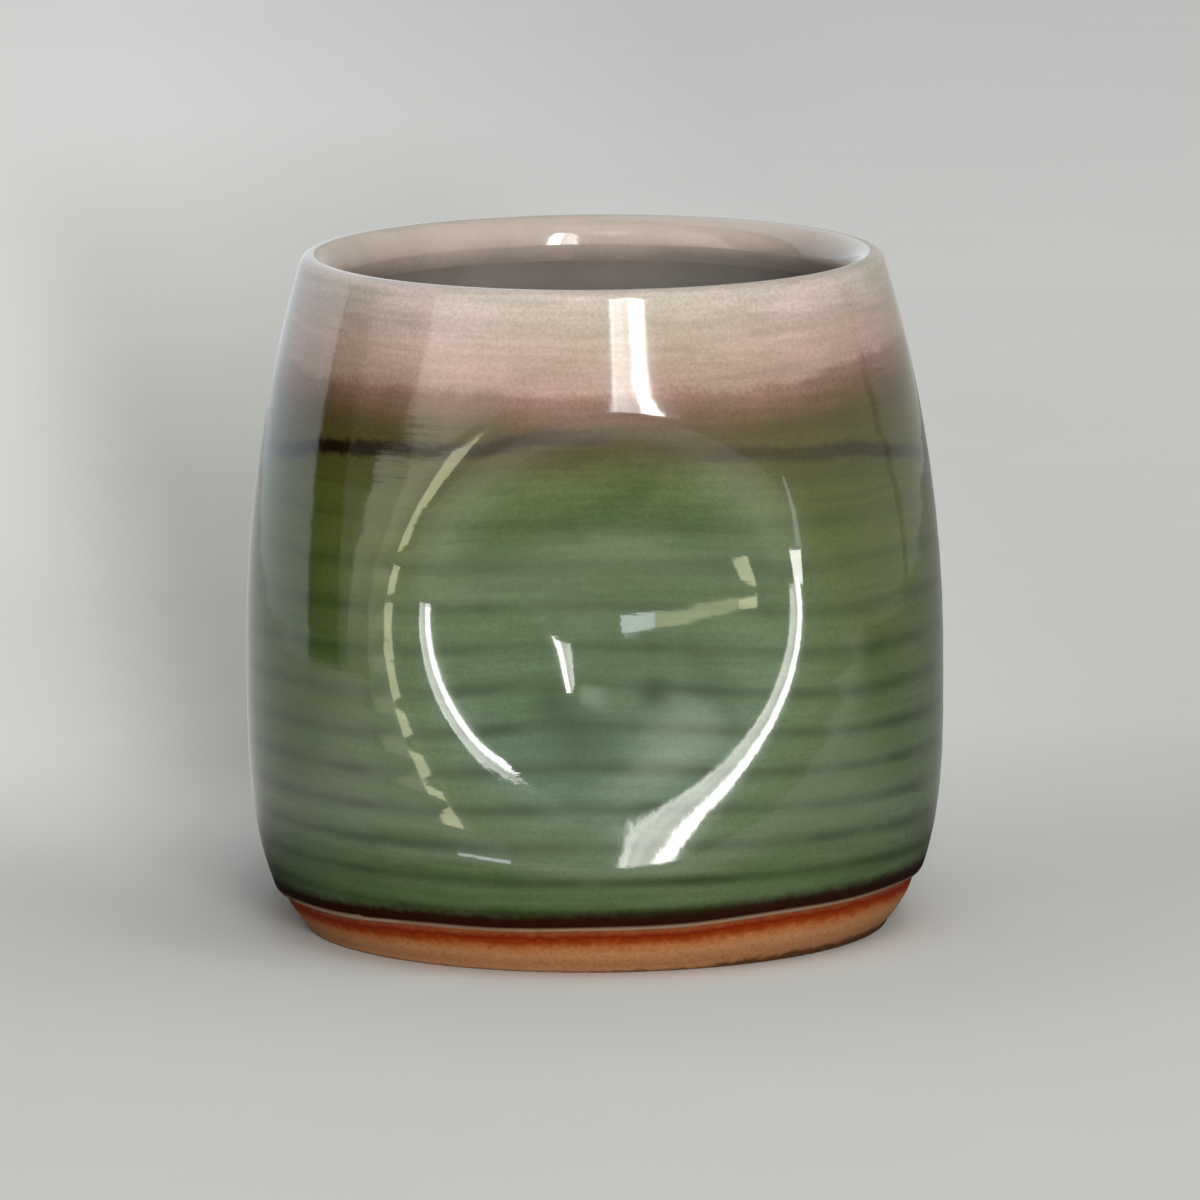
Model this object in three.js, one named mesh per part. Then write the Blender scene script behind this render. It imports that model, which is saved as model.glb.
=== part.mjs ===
// A wheel-thrown stoneware tumbler with a round dimple pressed into its front, in millimetres, +Z up.
// The origin is the middle of the foot's resting plane, and the dimple faces -Y.
// The fired clay is one piece. Three glaze coats lie on it: a green coat outside, a pink coat dipped
// over the rim, and a green liner inside. Each coat is a thin shell that follows the clay under it.

import * as THREE from "three";

// Sizes over the glaze. The foot is bare clay.
const HEIGHT = 88;
const BELLY_RADIUS = 45.4;
const BELLY_HEIGHT = 36;
const RIM_RADIUS = 38.1;
const SHOULDER_RADIUS = 42.2;
const FOOT_RADIUS = 38;

// How the wall leaves the belly, and the foot the glaze line: 2 is a parabola, and a higher power stays
// upright for longer.
const UPPER_POWER = 2;
const LOWER_POWER = 3.6;
const FOOT_POWER = 1.5;

// The clay's thicknesses. The lip has a small outer radius and rolls over wide towards the inside.
const WALL = 4.2;
const LIP_EDGE = 0.8;
const LIP_ROLL = 3.2;
const FLOOR = 4.6;
const FLOOR_FILLET = 13;

// The trimmed foot: a resting ring round a shallow recess, with its outer edge eased.
const FOOT_RING = 6;
const FOOT_RECESS = 1.8;
const FOOT_RECESS_SLOPE = 1.5;
const FOOT_EDGE = 0.7;

// The dimple, as the front view shows it: round, and pressed in along +Y. A higher floor power makes
// its floor flatter, and a higher edge power its edge softer. The lean moves its floor off its middle.
const DIMPLE_RADIUS = 35.2;
const DIMPLE_DEPTH = 13.3;
const DIMPLE_HEIGHT = 41.6;
const DIMPLE_FLOOR_POWER = 2.7;
const DIMPLE_EDGE_POWER = 3.4;
const DIMPLE_LEAN = new THREE.Vector2(-2, 5.4);

// The mark that the fingertip left in the dimple's floor: a bell with this spread.
const FINGERTIP_DEPTH = 2.2;
const FINGERTIP_SPREAD = 6;
const FINGERTIP = new THREE.Vector2(-5.2, 36.6);

// The glaze and the clearance round each coat, the height of the glaze's lower edge, and how far the
// pink coat reaches down from the rim, outside and inside.
const GLAZE = 0.6;
const CLEARANCE = 0.3;
const GLAZE_LINE = 6.3;
const PINK_OUTSIDE = 17;
const PINK_INSIDE = 5.5;

// Facets. The columns stand closer together across the dimple than round the back.
const FRONT_ARC = THREE.MathUtils.degToRad(92);
const FRONT_COLUMNS = 26;
const BACK_COLUMNS = 26;
const ROW_HEIGHT = 4;
const EDGE_STEPS = 2;
const ROLL_STEPS = 4;
const FILLET_STEPS = 5;

const FRONT = -Math.PI / 2;

const coat = CLEARANCE + GLAZE;
const clayBelly = BELLY_RADIUS - coat;
const clayRim = RIM_RADIUS - coat;
const clayShoulder = SHOULDER_RADIUS - coat;
const clayTop = HEIGHT - coat;
const edgeHeight = clayTop - LIP_EDGE;
const rollHeight = clayTop - LIP_ROLL;
const crestRadius = clayRim - LIP_EDGE;
const outerSeam = HEIGHT - PINK_OUTSIDE;
const innerSeam = HEIGHT - PINK_INSIDE;
const floorTop = FOOT_RECESS + FLOOR;
const filletTop = floorTop + FLOOR_FILLET;

// The clay's outside radius at a height.
function outerRadius(z) {
  if (z > BELLY_HEIGHT) {
    const rise = (z - BELLY_HEIGHT) / (edgeHeight - BELLY_HEIGHT);
    return clayBelly - (clayBelly - clayRim) * rise ** UPPER_POWER;
  }
  if (z < GLAZE_LINE) {
    const fall = (GLAZE_LINE - z) / (GLAZE_LINE - FOOT_EDGE);
    return clayShoulder - (clayShoulder - FOOT_RADIUS) * fall ** FOOT_POWER;
  }
  const fall = (BELLY_HEIGHT - z) / (BELLY_HEIGHT - GLAZE_LINE);
  return clayBelly - (clayBelly - clayShoulder) * fall ** LOWER_POWER;
}

function innerRadius(z) {
  return outerRadius(z) - WALL;
}

// The points of a wall in the (radius, height) plane, a row apart, both ends included.
function wall(radiusAt, from, to) {
  const rows = Math.max(2, Math.round(Math.abs(to - from) / ROW_HEIGHT));
  return Array.from({ length: rows + 1 }, (_, i) => {
    const z = THREE.MathUtils.lerp(from, to, i / rows);
    return new THREE.Vector2(radiusAt(z), z);
  });
}

// The points of an arc in the (radius, height) plane, without its ends. It is an ellipse's where its
// width and its depth differ. Angles are in degrees.
function arc(centre, width, depth, from, to, steps) {
  return Array.from({ length: steps }, (_, i) => {
    const angle = THREE.MathUtils.degToRad(THREE.MathUtils.lerp(from, to, (i + 1) / (steps + 1)));
    return new THREE.Vector2(
      centre.x + width * Math.cos(angle),
      centre.y + depth * Math.sin(angle),
    );
  });
}

// The clay's profile, from the axis under the foot, up the outside, over the lip and down the inside
// to the axis: the bare underside and foot, and then the stretches that the coats cover.
const underside = [
  new THREE.Vector2(0, FOOT_RECESS),
  new THREE.Vector2(FOOT_RADIUS - FOOT_RING - FOOT_RECESS_SLOPE, FOOT_RECESS),
  new THREE.Vector2(FOOT_RADIUS - FOOT_RING, 0),
  new THREE.Vector2(FOOT_RADIUS - FOOT_EDGE, 0),
  ...wall(outerRadius, FOOT_EDGE, GLAZE_LINE).slice(0, -1),
];
const underGreen = wall(outerRadius, GLAZE_LINE, outerSeam - CLEARANCE / 2);
const edgeCentre = new THREE.Vector2(crestRadius, edgeHeight);
const rollCentre = new THREE.Vector2(crestRadius, rollHeight);
const rollWidth = crestRadius - innerRadius(rollHeight);
const underPink = [
  ...wall(outerRadius, outerSeam + CLEARANCE / 2, edgeHeight),
  ...arc(edgeCentre, LIP_EDGE, LIP_EDGE, 0, 90, EDGE_STEPS),
  new THREE.Vector2(crestRadius, clayTop),
  ...arc(rollCentre, rollWidth, LIP_ROLL, 90, 180, ROLL_STEPS),
  new THREE.Vector2(innerRadius(rollHeight), rollHeight),
  new THREE.Vector2(innerRadius(innerSeam + CLEARANCE / 2), innerSeam + CLEARANCE / 2),
];
const filletCentre = new THREE.Vector2(innerRadius(filletTop) - FLOOR_FILLET, filletTop);
const underLiner = [
  ...wall(innerRadius, innerSeam - CLEARANCE / 2, filletTop),
  ...arc(filletCentre, FLOOR_FILLET, FLOOR_FILLET, 0, -90, FILLET_STEPS),
  new THREE.Vector2(filletCentre.x, floorTop),
  new THREE.Vector2(0, floorTop),
];

// Gives each point of the profile the normal that points out of the clay there.
function withNormals(profile) {
  profile.forEach((point, i) => {
    const before = profile[Math.max(i - 1, 0)];
    const after = profile[Math.min(i + 1, profile.length - 1)];
    const along = after.clone().sub(before).normalize();
    point.normal = new THREE.Vector2(along.y, -along.x);
    if (point.x === 0) point.normal.set(0, Math.sign(point.normal.y));
  });
  return profile;
}

// How far the wall is pressed in at a point of the front view.
function press(x, z) {
  const fromMiddle = new THREE.Vector2(x, z - DIMPLE_HEIGHT);
  const inside = Math.max(0, 1 - (fromMiddle.length() / DIMPLE_RADIUS) ** 2);
  const reach = fromMiddle.addScaledVector(DIMPLE_LEAN, -inside).length() / DIMPLE_RADIUS;
  const bowl = DIMPLE_DEPTH * Math.max(0, 1 - reach ** DIMPLE_FLOOR_POWER) ** DIMPLE_EDGE_POWER;
  const offTip = FINGERTIP.distanceTo(new THREE.Vector2(x, z)) / FINGERTIP_SPREAD;
  return bowl + FINGERTIP_DEPTH * Math.exp(-(offTip ** 2) / 2);
}

// How steeply the pressed depth grows along X and along Z.
function pressSlopes(x, z) {
  const step = 0.01;
  return [
    (press(x + step, z) - press(x - step, z)) / (2 * step),
    (press(x, z + step) - press(x, z - step)) / (2 * step),
  ];
}

// A profile's point turned to an angle about Z, pressed in by the dimple, and lifted off the clay
// along the pressed wall's normal.
function turnedPoint(point, lift, angle) {
  const [across, forward] = [Math.cos(angle), Math.sin(angle)];
  const place = new THREE.Vector3(point.x * across, point.x * forward, point.y);
  const normal = new THREE.Vector3(point.normal.x * across, point.normal.x * forward, point.normal.y);
  if (place.y < 0) {
    const [slopeX, slopeZ] = pressSlopes(place.x, place.z);
    place.y += press(place.x, place.z);
    normal.x -= normal.y * slopeX;
    normal.z -= normal.y * slopeZ;
  }
  return place.addScaledVector(normal.normalize(), lift).toArray();
}

function columnAngles() {
  const front = Array.from({ length: FRONT_COLUMNS }, (_, i) => {
    return FRONT + FRONT_ARC * (i / FRONT_COLUMNS - 0.5);
  });
  const back = Array.from({ length: BACK_COLUMNS }, (_, i) => {
    return FRONT + FRONT_ARC / 2 + (2 * Math.PI - FRONT_ARC) * (i / BACK_COLUMNS);
  });
  return [...front, ...back];
}

// The closed surface that a section sweeps round Z. The section is a list of [point, lift], and it
// either starts and ends on the axis or closes on itself.
function sweep(section) {
  const angles = columnAngles();
  const positions = [];
  const rings = section.map(([point, lift]) => {
    return (point.x === 0 ? [FRONT] : angles).map((angle) => {
      positions.push(...turnedPoint(point, lift, angle));
      return positions.length / 3 - 1;
    });
  });
  const onAxis = section[0][0].x === 0;
  const faces = [];
  rings.slice(onAxis ? 1 : 0).forEach((ring, i) => {
    const last = onAxis ? rings[i] : rings[(i + rings.length - 1) % rings.length];
    angles.forEach((_, j) => {
      const k = (j + 1) % angles.length;
      const [a, b] = [last[j % last.length], last[k % last.length]];
      const [c, d] = [ring[j % ring.length], ring[k % ring.length]];
      if (a !== b) faces.push(a, b, d);
      if (c !== d) faces.push(a, d, c);
    });
  });
  const geometry = new THREE.BufferGeometry();
  geometry.setAttribute("position", new THREE.Float32BufferAttribute(positions, 3));
  geometry.setIndex(faces);
  geometry.computeVertexNormals();
  return geometry;
}

// A coat of glaze on a stretch of the clay.
function coatOn(stretch) {
  const outside = stretch.map((point) => [point, coat]);
  const inside = stretch.map((point) => [point, CLEARANCE]).reverse();
  return sweep([...outside, ...inside]);
}

const profile = withNormals([...underside, ...underGreen, ...underPink, ...underLiner]);

function ceramic(name, geometry, color, roughness) {
  const material = new THREE.MeshStandardMaterial({ color, roughness, metalness: 0 });
  const mesh = new THREE.Mesh(geometry, material);
  mesh.name = name;
  return mesh;
}

const tumbler = new THREE.Group();
tumbler.add(
  ceramic("clay_body", sweep(profile.map((point) => [point, 0])), "#a9683f", 0.85),
  ceramic("green_glaze", coatOn(underGreen), "#55704f", 0.15),
  ceramic("pink_rim_glaze", coatOn(underPink), "#bfa594", 0.2),
  ceramic("liner_glaze", coatOn(underLiner), "#6f6c63", 0.2),
);

export default tumbler;
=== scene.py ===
# A wheel-thrown stoneware tumbler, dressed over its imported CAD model. Metres, +Z up.
# The pot's own lengths are in millimetres, as its CAD source has them, and MM turns them into metres.
# Bearings round the pot are in degrees from -Y, which the dimple faces, towards +X.
import math

import bpy
import numpy as np
from mathutils import Matrix, Vector


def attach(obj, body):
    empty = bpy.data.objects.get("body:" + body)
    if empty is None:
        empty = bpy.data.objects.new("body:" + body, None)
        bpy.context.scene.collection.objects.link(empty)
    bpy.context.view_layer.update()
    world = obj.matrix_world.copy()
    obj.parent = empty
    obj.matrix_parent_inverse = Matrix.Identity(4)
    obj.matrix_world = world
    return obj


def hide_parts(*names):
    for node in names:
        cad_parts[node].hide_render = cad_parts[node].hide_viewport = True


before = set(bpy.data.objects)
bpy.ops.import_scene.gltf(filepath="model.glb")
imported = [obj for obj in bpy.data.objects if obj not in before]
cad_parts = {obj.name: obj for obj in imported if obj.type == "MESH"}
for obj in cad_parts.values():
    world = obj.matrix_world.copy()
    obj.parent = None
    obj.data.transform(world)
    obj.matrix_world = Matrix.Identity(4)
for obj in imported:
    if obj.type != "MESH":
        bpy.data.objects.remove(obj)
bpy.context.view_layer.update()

MM = 0.001

# The pot's sizes, as the CAD source has them.
HEIGHT = 88
BELLY_RADIUS = 45.4
BELLY_HEIGHT = 36
RIM_RADIUS = 38.1
SHOULDER_RADIUS = 42.2
FOOT_RADIUS = 38
UPPER_POWER = 2
LOWER_POWER = 3.6
FOOT_POWER = 1.5
WALL = 4.2
LIP_EDGE = 0.8
LIP_ROLL = 3.2
FLOOR = 4.6
FLOOR_FILLET = 13
FOOT_RING = 6
FOOT_RECESS = 1.8
FOOT_RECESS_SLOPE = 1.5
FOOT_EDGE = 0.7
DIMPLE_RADIUS = 35.2
DIMPLE_DEPTH = 13.3
DIMPLE_HEIGHT = 41.6
DIMPLE_FLOOR_POWER = 2.7
DIMPLE_EDGE_POWER = 3.4
DIMPLE_LEAN = (-2, 5.4)
FINGERTIP_DEPTH = 2.2
FINGERTIP_SPREAD = 6
FINGERTIP = (-5.2, 36.6)
COAT = 0.9
GLAZE_LINE = 6.3
PINK_OUTSIDE = 17
PINK_INSIDE = 5.5

CLAY_BELLY = BELLY_RADIUS - COAT
CLAY_RIM = RIM_RADIUS - COAT
CLAY_SHOULDER = SHOULDER_RADIUS - COAT
CLAY_TOP = HEIGHT - COAT
EDGE_HEIGHT = CLAY_TOP - LIP_EDGE
ROLL_HEIGHT = CLAY_TOP - LIP_ROLL
CREST_RADIUS = CLAY_RIM - LIP_EDGE
OUTER_SEAM = HEIGHT - PINK_OUTSIDE
INNER_SEAM = HEIGHT - PINK_INSIDE
FLOOR_TOP = FOOT_RECESS + FLOOR
FILLET_TOP = FLOOR_TOP + FLOOR_FILLET

# The mesh: columns round the pot, and the distance between rows on the bare foot, under it, and on the
# outer, inner and hidden walls. The clay has foot rows up to BARE_TOP.
COLUMNS = 640
FOOT_ROW = 0.2
UNDERSIDE_ROW = 0.5
OUTER_ROW = 0.4
INNER_ROW = 0.8
HIDDEN_ROW = 4
BARE_TOP = 9

# How far the visible glaze stays inside the CAD skin, and the hidden side's lift off the clay.
SKIN_MARGIN = 0.06
HIDDEN_LIFT = 0.02

# The step that slopes are measured over, and the angle from which an edge between faces is sharp.
SLOPE_STEP = 0.01
SHARP_ANGLE = 40

# The throwing rings. Ring k lies at RING_START + RING_PITCH * k + RING_SPREAD * k * k, and wanders by
# RING_WANDER once and three times round the pot. Heights count from no lower than RING_LOWEST over the
# start, so that the formula holds.
RING_START = 16.7
RING_PITCH = 4.3
RING_SPREAD = 0.1
RING_WANDER = (0.6, 0.2)
RING_LOWEST = -40

# The glaze dips over a ring by RING_RELIEF, and deeper to the left of the dimple, from one range of
# bearings to the other and up to a range of heights. The dips start over one range of heights, lose a
# share of their depth over another, and are gone over a range of how far the dimple is pressed in.
RING_RELIEF = 0.02
RING_RELIEF_LEFT = 0.11
RING_LEFT_FROM, RING_LEFT_TO = (-45, -40.5), (-24, -12)
RING_LEFT_UP_TO = (51, 58)
RING_RISES = (8, 14)
RING_FADES, RING_FADES_BY = (66, 80), 0.8
RING_PRESSED_OUT = (1.2, 2.2)

# The rings inside, the spiral on the inner floor and the turning grooves under the foot.
INNER_RING_RELIEF = 0.06
INNER_RING_SHIFT = 2.2
SPIRAL_PITCH = 4.2
SPIRAL_RELIEF = 0.1
GROOVE_PITCH = 2.1
GROOVE_RELIEF = 0.05

# The glaze's tilted edge at the foot, and its rounded bead, which starts sunk into the clay's surface.
GLAZE_EDGE = 6.25
GLAZE_EDGE_TILT = 1.1
GLAZE_EDGE_LEVEL = 14
BEAD = 1.1
BEAD_START = -0.04

# The dark line where the two glazes meet: its height at the pot's sides, its rise at the front, the
# hump over the dimple, and its fading in the middle of the front, with the bearings of each.
LINE_HEIGHT = 62.2
LINE_RISE, LINE_RISE_AT = 5.8, -10
LINE_HUMP, LINE_HUMP_AT, LINE_HUMP_WIDTH = 1.9, -8, 14
LINE_FADING, LINE_FADING_AT, LINE_FADING_WIDTH = 0.85, 3, 13

# How far the boundary between the two glazes' colours is lifted as the bearing goes over a range, the
# range that ends the lift, and the ranges of height that it comes and goes over.
COLOUR_LIFTS = [(2.6, (15, 75)), (1.4, (60, 100))]
COLOUR_LIFT_END = (130, 180)
COLOUR_LIFT_FROM, COLOUR_LIFT_TO = (62, 68), (80, 86)

# The camera. Its aim is the shift of the picture's middle, to the right and up.
CAMERA_DISTANCE = 1.803
CAMERA_AZIMUTH = -4.4
CAMERA_ELEVATION = 9.1
CAMERA_ROLL = 0.38
CAMERA_LENS = 416
CAMERA_TARGET = 0.044
CAMERA_AIM = (0.000715, -0.001755)

# The even light of the room, and the soft lights: their level, azimuth, elevation and size.
ROOM_LEVEL = 0.22
ROOM_COLOUR = (0.97, 0.99, 1.0)
LIGHT_DISTANCE = 2.5
LIGHT_COLOUR = (1.0, 0.985, 0.955)
KEY_LIGHT = (0.86, 4, 14, (0.8, 0.8))
TOP_LIGHT = (0.31, 30, 72, (1.8, 1.8))

# The tabletop that the glaze mirrors, in metres as the camera faces it: how far it reaches from the
# pot's axis to the left and right, and behind and in front, its height over the floor, and the two
# distances from the axis that the pot's painted shade fades between.
TABLE_LEFT, TABLE_RIGHT = -0.287, 0.4
TABLE_BEHIND, TABLE_FRONT = -0.6, 0.2
TABLE_HEIGHT = 0.0001
TABLE_SHADE = (0.047, 0.115)

angles = np.linspace(0, 2 * math.pi, COLUMNS, endpoint=False)
across = np.cos(angles)
forward = np.sin(angles)


def smoothstep(value, low, high):
    t = np.clip((value - low) / (high - low), 0, 1)
    return t * t * (3 - 2 * t)


def within(value, rising, falling):
    """1 between the two ranges, rising to it over the first and falling from it over the second."""
    return smoothstep(value, *rising) * (1 - smoothstep(value, *falling))


def bell(value, middle, width):
    return np.exp(-(((value - middle) / width) ** 2))


def bearing_of(turn):
    """The bearing from -180 to 180 of an angle about Z, which starts at +X."""
    return (np.degrees(turn) + 270) % 360 - 180


# The pot's form.
def clay_radius(z):
    """The clay's outside radius at a height: the trimmed foot, the belly and the drawn-in rim."""
    rise = np.maximum(z - BELLY_HEIGHT, 0) / (EDGE_HEIGHT - BELLY_HEIGHT)
    fall = np.clip((BELLY_HEIGHT - z) / (BELLY_HEIGHT - GLAZE_LINE), 0, 1)
    below_line = np.clip((GLAZE_LINE - z) / (GLAZE_LINE - FOOT_EDGE), 0, 1)
    return (
        CLAY_BELLY
        - (CLAY_BELLY - CLAY_RIM) * rise**UPPER_POWER
        - (CLAY_BELLY - CLAY_SHOULDER) * fall**LOWER_POWER
        - (CLAY_SHOULDER - FOOT_RADIUS) * below_line**FOOT_POWER
    )


def inner_radius(z):
    return clay_radius(z) - WALL


def press(x, z):
    """How far the wall is pressed in at a point of the front view."""
    from_x, from_z = x, z - DIMPLE_HEIGHT
    inside = np.maximum(0, 1 - (np.hypot(from_x, from_z) / DIMPLE_RADIUS) ** 2)
    lean_x, lean_z = DIMPLE_LEAN[0] * inside, DIMPLE_LEAN[1] * inside
    reach = np.hypot(from_x - lean_x, from_z - lean_z) / DIMPLE_RADIUS
    bowl = DIMPLE_DEPTH * np.maximum(0, 1 - reach**DIMPLE_FLOOR_POWER) ** DIMPLE_EDGE_POWER
    off_tip = np.hypot(x - FINGERTIP[0], z - FINGERTIP[1]) / FINGERTIP_SPREAD
    return bowl + FINGERTIP_DEPTH * np.exp(-(off_tip**2) / 2)


def ring_depth(z, turn):
    """1 in the middle of a throwing ring's groove and 0 between grooves."""
    wander = RING_WANDER[0] * np.sin(turn + 0.9) + RING_WANDER[1] * np.sin(3 * turn + z / 9)
    above = np.maximum(z + wander - RING_START, RING_LOWEST)
    number = (-RING_PITCH + np.sqrt(RING_PITCH**2 + 4 * RING_SPREAD * above)) / (2 * RING_SPREAD)
    return 0.5 + 0.5 * np.cos(2 * math.pi * number)


def glaze_edge(turn):
    """The height of the glaze's lower edge round the pot, tilted and a little wavy."""
    tilted = GLAZE_EDGE + GLAZE_EDGE_TILT * np.cos(turn)
    return tilted + 0.12 * np.sin(5 * turn) + 0.08 * np.sin(11 * turn + 1)


# How far a surface is lifted off the clay at a height, for each column.
def bare(z):
    return 0 * z


def hidden(z):
    return 0 * z + HIDDEN_LIFT


def outer_lift(z):
    """The outer glaze with its throwing rings, which the dimple has stretched flat."""
    pressed = np.where(forward < 0, press(clay_radius(z) * across, z), 0)
    left = within(bearing_of(angles), RING_LEFT_FROM, RING_LEFT_TO)
    left = left * (1 - smoothstep(z, *RING_LEFT_UP_TO))
    relief = RING_RELIEF + (RING_RELIEF_LEFT - RING_RELIEF) * left
    relief = relief * smoothstep(z, *RING_RISES) * (1 - RING_FADES_BY * smoothstep(z, *RING_FADES))
    relief = relief * (1 - smoothstep(pressed, *RING_PRESSED_OUT))
    return COAT - SKIN_MARGIN - relief * ring_depth(z, angles)


def inner_lift(z):
    """The liner, whose rings start below the seam with the pink glaze."""
    rings = INNER_RING_RELIEF * ring_depth(z + INNER_RING_SHIFT, angles)
    return COAT - SKIN_MARGIN - rings * smoothstep(INNER_SEAM - z, 0, 12)


class Section:
    """Rows of points round the pot. A row keeps its clay point, its normal in section and its lift."""

    def __init__(self):
        self.rows = []

    def add(self, radius, height, normal_r, normal_z, lift):
        values = (radius, height, normal_r, normal_z, lift)
        self.rows.append([np.broadcast_to(np.asarray(value, float), (COLUMNS,)) for value in values])

    def wall(self, radius_at, heights, lift_at, side):
        """A wall's rows at these heights, each a number or one per column. Its side is 1 outside and
        -1 inside."""
        for z in heights:
            z = np.broadcast_to(np.asarray(z, float), (COLUMNS,))
            slope = (radius_at(z + SLOPE_STEP) - radius_at(z - SLOPE_STEP)) / (2 * SLOPE_STEP)
            length = np.sqrt(1 + slope**2)
            self.add(radius_at(z), z, side / length, -side * slope / length, lift_at(z))

    def arc(self, centre, size, turns, lift, hollow=False):
        """An arc's rows at these angles. Its size is its width and depth. A hollow arc's normals point
        to its centre."""
        side = -1 if hollow else 1
        for degrees in turns:
            c, s = math.cos(math.radians(degrees)), math.sin(math.radians(degrees))
            normal_r, normal_z = c / size[0], s / size[1]
            length = side * math.hypot(normal_r, normal_z)
            radius, height = centre[0] + size[0] * c, centre[1] + size[1] * s
            self.add(radius, height, normal_r / length, normal_z / length, lift)

    def lip(self, steps, lift, downwards=False):
        """The lip's rows, from the outer wall over the crest to the inner wall, or the other way."""
        inner_edge = float(inner_radius(ROLL_HEIGHT))
        edge = ((CREST_RADIUS, EDGE_HEIGHT), (LIP_EDGE, LIP_EDGE))
        roll = ((CREST_RADIUS, ROLL_HEIGHT), (CREST_RADIUS - inner_edge, LIP_ROLL))
        half = Section()
        half.arc(*edge, np.linspace(8, 86, steps // 2), lift)
        half.arc(*roll, np.linspace(92, 174, steps), lift)
        self.rows += half.rows[::-1] if downwards else half.rows


def swept_mesh(name, section, closed_ring):
    """The surface that the section's rows make round the pot, pressed in by the dimple. A section that
    isn't a closed ring starts and ends on the axis."""
    radius, height, normal_r, normal_z, lift = [np.array(part) for part in zip(*section.rows)]
    x, y, z = radius * across, radius * forward, height.copy()
    nx, ny, nz = normal_r * across, normal_r * forward, normal_z.copy()
    front = y < 0
    step = SLOPE_STEP
    slope_x = (press(x + step, z) - press(x - step, z)) / (2 * step)
    slope_z = (press(x, z + step) - press(x, z - step)) / (2 * step)
    y = y + np.where(front, press(x, z), 0)
    nx = nx - np.where(front, ny * slope_x, 0)
    nz = nz - np.where(front, ny * slope_z, 0)
    length = np.sqrt(nx**2 + ny**2 + nz**2)
    points = np.stack([x + lift * nx / length, y + lift * ny / length, z + lift * nz / length], axis=-1)

    rows = len(points)
    index = np.arange(rows * COLUMNS).reshape(rows, COLUMNS)
    if closed_ring:
        below, above = index, np.roll(index, -1, axis=0)
    else:
        below, above = index[:-1], index[1:]
    beside = [np.roll(grid, -1, axis=1) for grid in (below, above)]
    quads = np.stack([below, beside[0], beside[1], above], axis=-1).reshape(-1, 4).tolist()
    vertices = points.reshape(-1, 3)
    heights = height.reshape(-1)
    turns = np.tile(angles, rows)
    if not closed_ring:
        first, last = len(vertices), len(vertices) + 1
        ends = [[0, 0, points[0, :, 2].mean()], [0, 0, points[-1, :, 2].mean()]]
        vertices = np.vstack([vertices, ends])
        heights = np.append(heights, [height[0].mean(), height[-1].mean()])
        turns = np.append(turns, [0, 0])
        for j in range(COLUMNS):
            k = (j + 1) % COLUMNS
            quads.append([first, int(index[0, k]), int(index[0, j])])
            quads.append([last, int(index[-1, j]), int(index[-1, k])])
    mesh = bpy.data.meshes.new(name)
    mesh.from_pydata((vertices * MM).tolist(), [], quads)
    mesh.update()
    mesh.polygons.foreach_set("use_smooth", [True] * len(mesh.polygons))
    mesh.set_sharp_from_angle(angle=math.radians(SHARP_ANGLE))
    mark_glaze(mesh, vertices, heights, turns)
    return mesh


def add_attribute(mesh, name, values):
    attribute = mesh.attributes.new(name, "FLOAT", "POINT")
    attribute.data.foreach_set("value", np.asarray(values, np.float32))


def dark_line(turns):
    """The height of the dark line round the pot, and its strength."""
    bearing = bearing_of(turns)
    height = LINE_HEIGHT + LINE_RISE * np.cos(np.radians(bearing - LINE_RISE_AT))
    height = height + LINE_HUMP * bell(bearing, LINE_HUMP_AT, LINE_HUMP_WIDTH)
    height = height + 0.25 * np.sin(7 * turns) + 0.15 * np.sin(17 * turns + 2)
    strength = 1 - LINE_FADING * bell(bearing, LINE_FADING_AT, LINE_FADING_WIDTH)
    return height, strength * (0.75 + 0.25 * np.sin(2 * turns + 1))


def colour_lift(turns, heights):
    """How far the glaze's colours are lifted there: the green glaze reaches higher on the right."""
    bearing = bearing_of(turns)
    lift = sum(amount * smoothstep(bearing, *rise) for amount, rise in COLOUR_LIFTS)
    lift = lift * (1 - smoothstep(bearing, *COLOUR_LIFT_END))
    return lift * within(heights, COLOUR_LIFT_FROM, COLOUR_LIFT_TO)


def mark_glaze(mesh, vertices, heights, turns):
    """What the glaze's colours follow: its zones, the dark line, the throwing rings and the dimple."""
    x, front = vertices[:, 0], vertices[:, 1] < 0
    inwards = CREST_RADIUS - np.hypot(x, vertices[:, 1])
    line_height, line_strength = dark_line(turns)
    blot = sum(
        strength * np.exp(-((x - blot_x) ** 2 + (heights - blot_z) ** 2) / (2 * size**2))
        for blot_x, blot_z, size, strength in BLOTS
    )
    add_attribute(mesh, "height", heights - colour_lift(turns, heights))
    add_attribute(mesh, "inwards", np.where(heights > OUTER_SEAM, inwards, 0))
    add_attribute(mesh, "above_line", heights - line_height)
    add_attribute(mesh, "line_strength", line_strength)
    add_attribute(mesh, "above_edge", heights - glaze_edge(turns))
    add_attribute(mesh, "ring", ring_depth(heights, turns) ** 3)
    add_attribute(mesh, "blot", np.where(front, blot, 0))
    add_attribute(mesh, "pressed", np.where(front, press(x, heights), 0))


def add_piece(name, mesh, material, node):
    piece = bpy.data.objects.new(name, mesh)
    bpy.context.scene.collection.objects.link(piece)
    mesh.materials.append(material)
    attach(piece, "root")
    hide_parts(node)


def rows_between(low, high, spacing):
    return np.linspace(low, high, max(2, round(abs(high - low) / spacing) + 1))


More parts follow.
